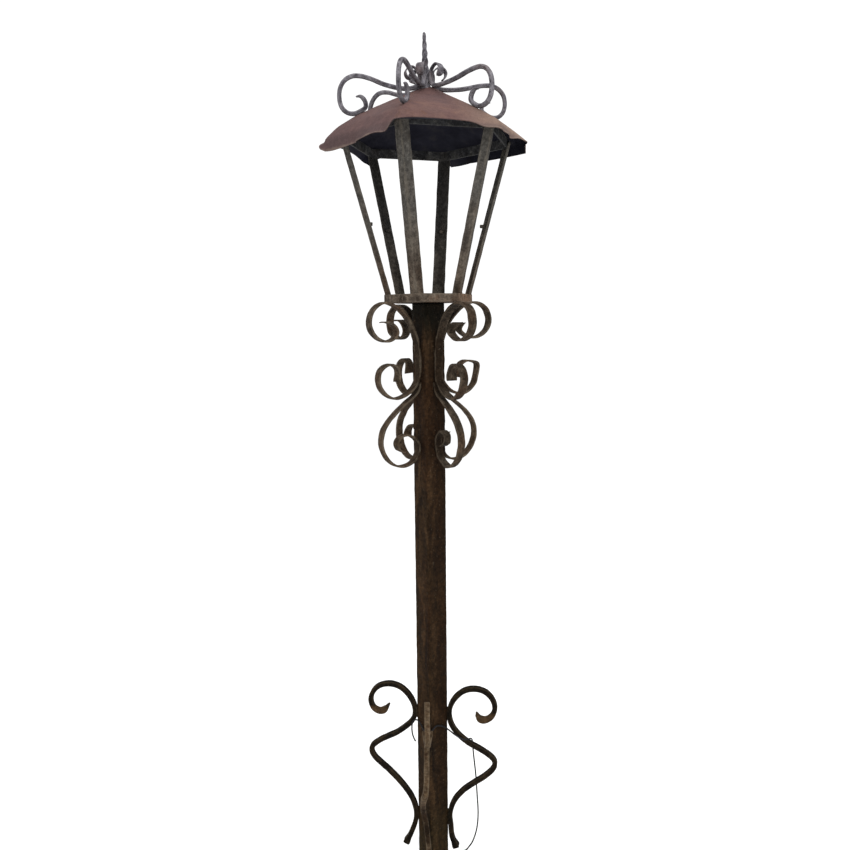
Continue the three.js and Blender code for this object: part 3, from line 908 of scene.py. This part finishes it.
def make_paints():
    bar_tones = (tone(54, 45, 37), tone(76, 66, 57), tone(100, 90, 79))
    return {
        "post": rusted_iron(
            "post_rust", (tone(23, 14, 7), tone(43, 30, 17), tone(68, 50, 33)),
            rust=tone(58, 33, 17), bare=tone(104, 90, 72),
            streaks=2.0, shift=0.0, rust_share=0.28, wear_share=0.3,
            tints=[
                # painted shade: the post's right side (X above 0) darkened, the side the light falls on less
                (fading_in("X", 0.0, 0.025), 0.85, tone(34, 20, 8)),
                (fading_in("Z", 0.3, 0.12), 0.6, tone(50, 41, 22)),
                # painted shade: the post's top, under the lantern ring, darkened towards the top
                (fading_in("Z", 1.49, 1.58), 0.85, tone(26, 26, 20)),
            ],
        ),
        "strap": rusted_iron(
            "strap_rust", (tone(46, 38, 29), tone(74, 64, 53), tone(104, 92, 78)),
            rust=tone(88, 60, 40), bare=tone(128, 116, 100),
            streaks=0.2, shift=11.0, rust_share=0.4, wear_share=0.35,
            tints=[
                (fading_in("Z", 1.46, 1.42), 0.45, tone(80, 62, 46)),
                (near_post, 0.9, tone(42, 31, 19)),
            ],
        ),
        # painted shade: a darker copy of the strap paint, standing for shade on the fourth pair of straps
        "painted_shade_strap": rusted_iron(
            "dim_strap_rust", (tone(39, 32, 24), tone(63, 54, 44), tone(89, 78, 66)),
            rust=tone(74, 50, 33), bare=tone(112, 100, 86),
            streaks=0.2, shift=13.0, rust_share=0.4, wear_share=0.35,
            tints=[(near_post, 0.9, tone(36, 25, 14))],
        ),
        "foot": rusted_iron(
            "foot_rust", (tone(14, 11, 7), tone(25, 20, 13), tone(44, 36, 25)),
            rust=tone(42, 28, 16), bare=tone(84, 70, 52),
            streaks=0.2, shift=23.0, rust_share=0.3, wear_share=0.35,
            # painted highlight: the curl tips made paler where the light falls on them
            tints=[(painted_highlight_foot_tips, 0.75, tone(86, 66, 46))],
        ),
        # painted light: a lighter copy of the foot paint, standing for the light on the front foot bar's face
        "lit_front_foot": rusted_iron(
            "front_foot_rust", (tone(66, 50, 36), tone(90, 74, 56), tone(112, 96, 78)),
            rust=tone(78, 42, 24), bare=tone(124, 110, 90),
            streaks=0.2, shift=27.0, rust_share=0.4, wear_share=0.35,
            # painted shadow: the front foot bar's lower part, below about 0.3 m, darkened
            tints=[(fading_in("Z", 0.3, 0.268), 1.0, tone(33, 23, 13))],
        ),
        "ring": rusted_iron(
            "ring_rust", (tone(66, 56, 47), tone(90, 80, 70), tone(116, 104, 92)),
            rust=tone(124, 92, 68), bare=tone(136, 126, 112),
            streaks=0.2, shift=31.0, rust_share=0.5, wear_share=0.3,
            tints=[(fading_in("X", 0.03, 0.11), 0.6, tone(124, 96, 74))],
        ),
        "bar": rusted_iron(
            "bar_rust", bar_tones, rust=tone(96, 74, 56), bare=tone(128, 120, 108),
            streaks=1.5, shift=37.0, rust_share=0.4, wear_share=0.35,
            tints=[(fading_in("Z", 1.64, 1.86), 0.85, tone(86, 84, 80))],
        ),
        "shaded_bar": rusted_iron(
            "shaded_bar_rust", (tone(50, 46, 41), tone(74, 69, 63), tone(102, 95, 86)),
            rust=tone(78, 66, 55), bare=tone(104, 99, 90),
            streaks=1.5, shift=39.0, rust_share=0.3, wear_share=0.2,
            tints=[(fading_in("Z", 1.64, 1.86), 0.8, tone(62, 62, 61))],
        ),
        "frame": rusted_iron(
            "frame_rust", (tone(46, 46, 48), tone(63, 63, 65), tone(83, 82, 80)),
            rust=tone(72, 64, 55), bare=tone(92, 92, 86),
            streaks=0.0, shift=43.0, rust_share=0.3, wear_share=0.2,
        ),
        "crown": rusted_iron(
            "crown_rust", (tone(70, 67, 73), tone(101, 98, 104), tone(133, 130, 136)),
            rust=tone(108, 84, 72), bare=tone(152, 148, 152),
            streaks=0.0, shift=41.0, rust_share=0.35, wear_share=0.4,
        ),
        "roof_outside": roof_paint(),
        "roof_inside_painted_shade": roof_underside_painted_shade(),
    }


def finish_cad_piece(name, paint):
    """Gives a CAD node that is kept as it is a material and slightly rounded edges."""
    node = nodes[name]
    for slot in node.material_slots:
        slot.material = paint
    bevel = node.modifiers.new("edges", "BEVEL")
    bevel.width, bevel.segments, bevel.limit_method = 0.8 * MM, 2, "ANGLE"


make_camera()
rubber_paint = rubber()
make_lead(rubber_paint)
make_studio()
paints = make_paints()
make_post(paints["post"])
make_scrolls(
    # the fourth straps take the copy with painted shade
    [paints["strap"], paints["strap"], paints["strap"], paints["painted_shade_strap"]],
    # the front foot bar takes the copy with painted light
    [paints["foot"], paints["foot"], paints["lit_front_foot"], paints["foot"]],
)
make_lantern(
    paints["ring"], paints["frame"],
    [paints["shaded_bar"] if i in SHADED_BARS else paints["bar"] for i in range(6)],
)
make_roof(paints["roof_outside"], paints["roof_inside_painted_shade"])
make_crown(paints["crown"])
make_finial(paints["crown"])
finish_cad_piece("base_plate", paints["post"])
finish_cad_piece("cable_gland", rubber_paint)
finish_cad_piece("lantern_floor", paints["ring"])
for i in range(6):
    finish_cad_piece(f"glass_stud_{i + 1}", paints["bar"])
